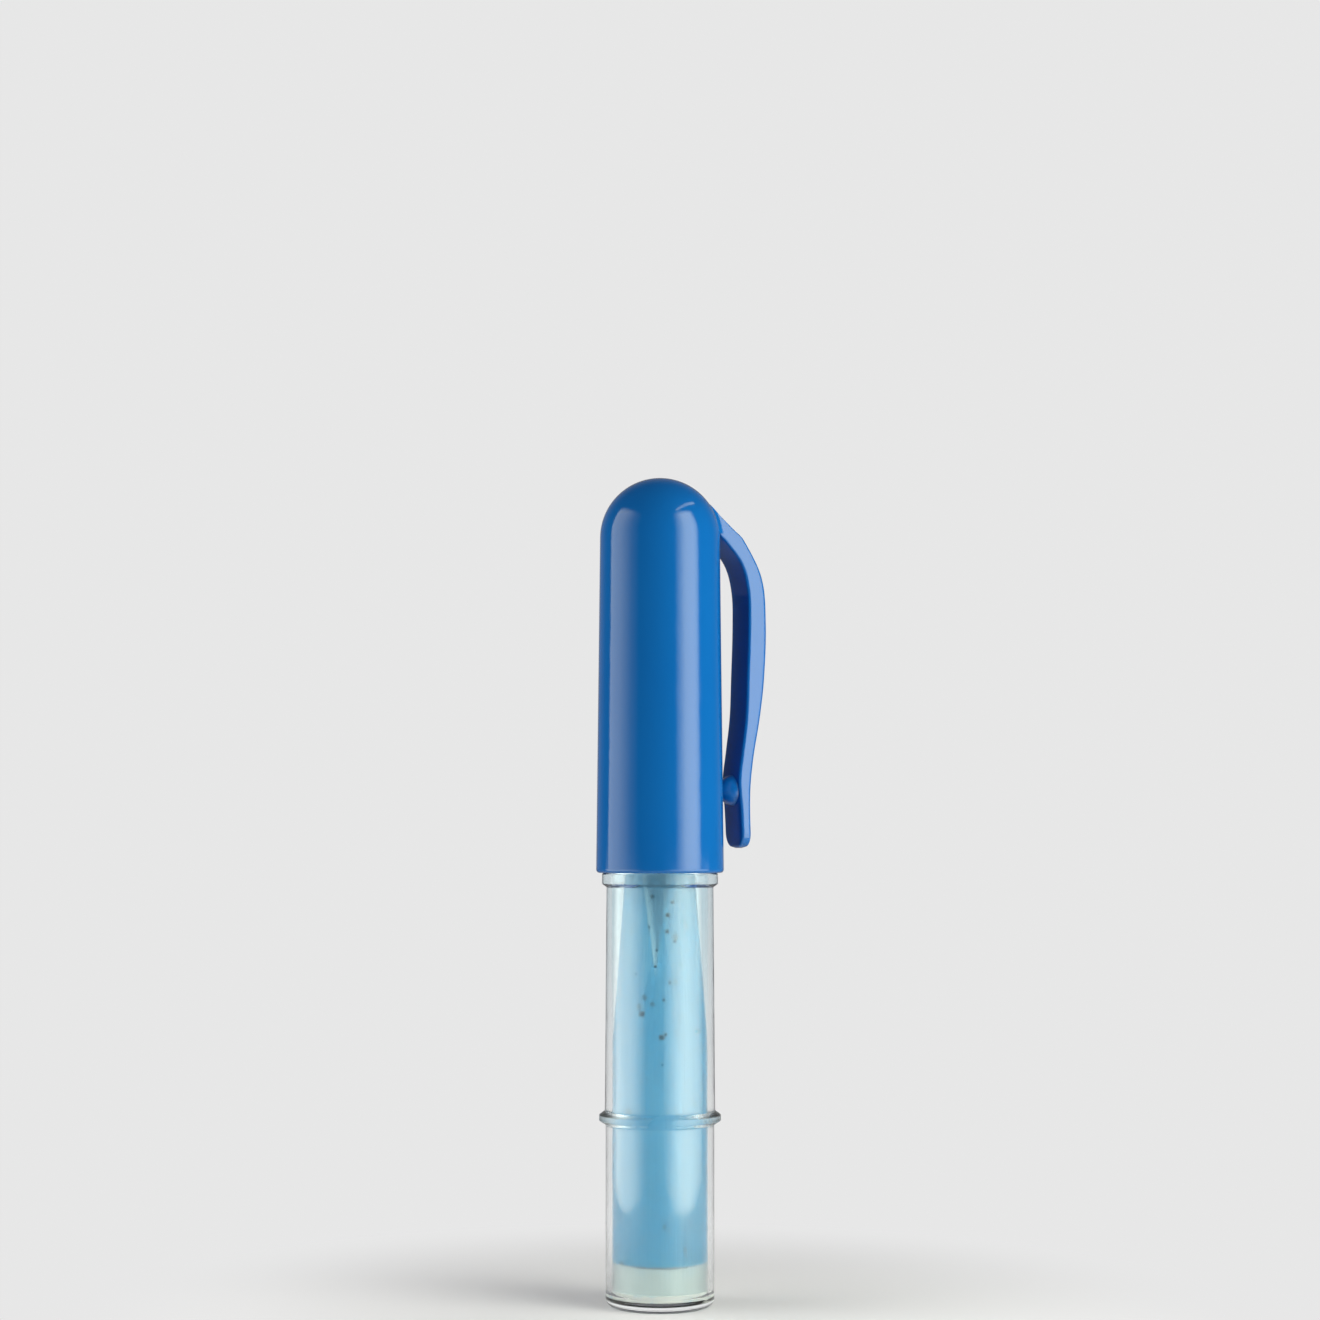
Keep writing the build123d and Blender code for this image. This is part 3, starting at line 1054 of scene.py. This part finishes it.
def hang(lamp, place, way):
    """Hangs a lamp at a place, where the camera doesn't see it, to shine back along the way."""
    held = bpy.data.objects.new(lamp.name, lamp)
    bpy.context.scene.collection.objects.link(held)
    held.location = place
    held.rotation_euler = way.to_track_quat("Z", "Y").to_euler()
    held.visible_camera = False


def soft_light(name, bearing, spread, radiance, colour, low_stops, high_stops):
    """A tall lamp shaded from side to side, one way for the barrel and another for the cap."""
    width = 2 * LAMP_DISTANCE * math.tan(math.radians(spread) / 2)
    lamp = rectangle(name, width, LAMP_HIGH - LAMP_LOW, radiance, colour)
    lamp.use_nodes = True
    emission = lamp.node_tree.nodes["Emission"]
    face = Wire(emission.outputs[0]).node("NewGeometry", output="Parametric")
    sideways = face.node("SeparateXYZ", None, {0: face}, "X")
    upward = face.node("SeparateXYZ", None, {0: face}, "Y")
    low, high = sideways.ramp(low_stops), sideways.ramp(high_stops)
    both = upward.step(BARREL_END, CAP_START).blend(low, high)
    (both * (1 - upward.step(LAMP_FADE, LAMP_END))).into(emission.inputs["Color"])
    way = toward(math.radians(bearing))
    hang(lamp, way * LAMP_DISTANCE + Vector((0, 0, (LAMP_LOW + LAMP_HIGH) / 2)), way)


soft_light(
    "left_light",
    bearing=-72,
    spread=82,
    radiance=2.75,
    colour=LEFT_COLOUR,
    low_stops=[
        (0.0, 0.5), (0.052, 0.75), (0.195, 1.0), (0.40, 1.0),
        (0.57, 0.98), (0.73, 0.60), (0.918, 0.18), (1.0, 0.0),
    ],
    high_stops=[
        (0.13, 0.0), (0.145, 0.9), (0.262, 0.9), (0.429, 0.87),
        (0.564, 0.56), (0.698, 0.2), (0.845, 0.03), (0.87, 0.0),
    ],
)
soft_light(
    "right_light",
    bearing=53,
    spread=90,
    radiance=5.4,
    colour=LAMP_COLOUR,
    low_stops=[
        (0.0, 0.06), (0.145, 0.20), (0.308, 0.50), (0.44, 0.75),
        (0.57, 0.82), (0.72, 0.60), (0.95, 0.42), (1.0, 0.36),
    ],
    high_stops=[
        (0.255, 0.0), (0.267, 0.02), (0.364, 0.48), (0.45, 0.97),
        (0.579, 1.0), (0.63, 0.9), (0.68, 0.6), (0.73, 0.0),
    ],
)
bar_way = toward(BAR_BEARING) * math.cos(BAR_RISE) + Vector((0, 0, math.sin(BAR_RISE)))
bar = rectangle("top_bar", BAR_LENGTH, BAR_WIDTH, BAR_RADIANCE, LAMP_COLOUR)
hang(bar, Vector((0, 0, dome_base * MM)) + bar_way * BAR_DISTANCE, bar_way)

bpy.context.scene.view_settings.view_transform = "Standard"
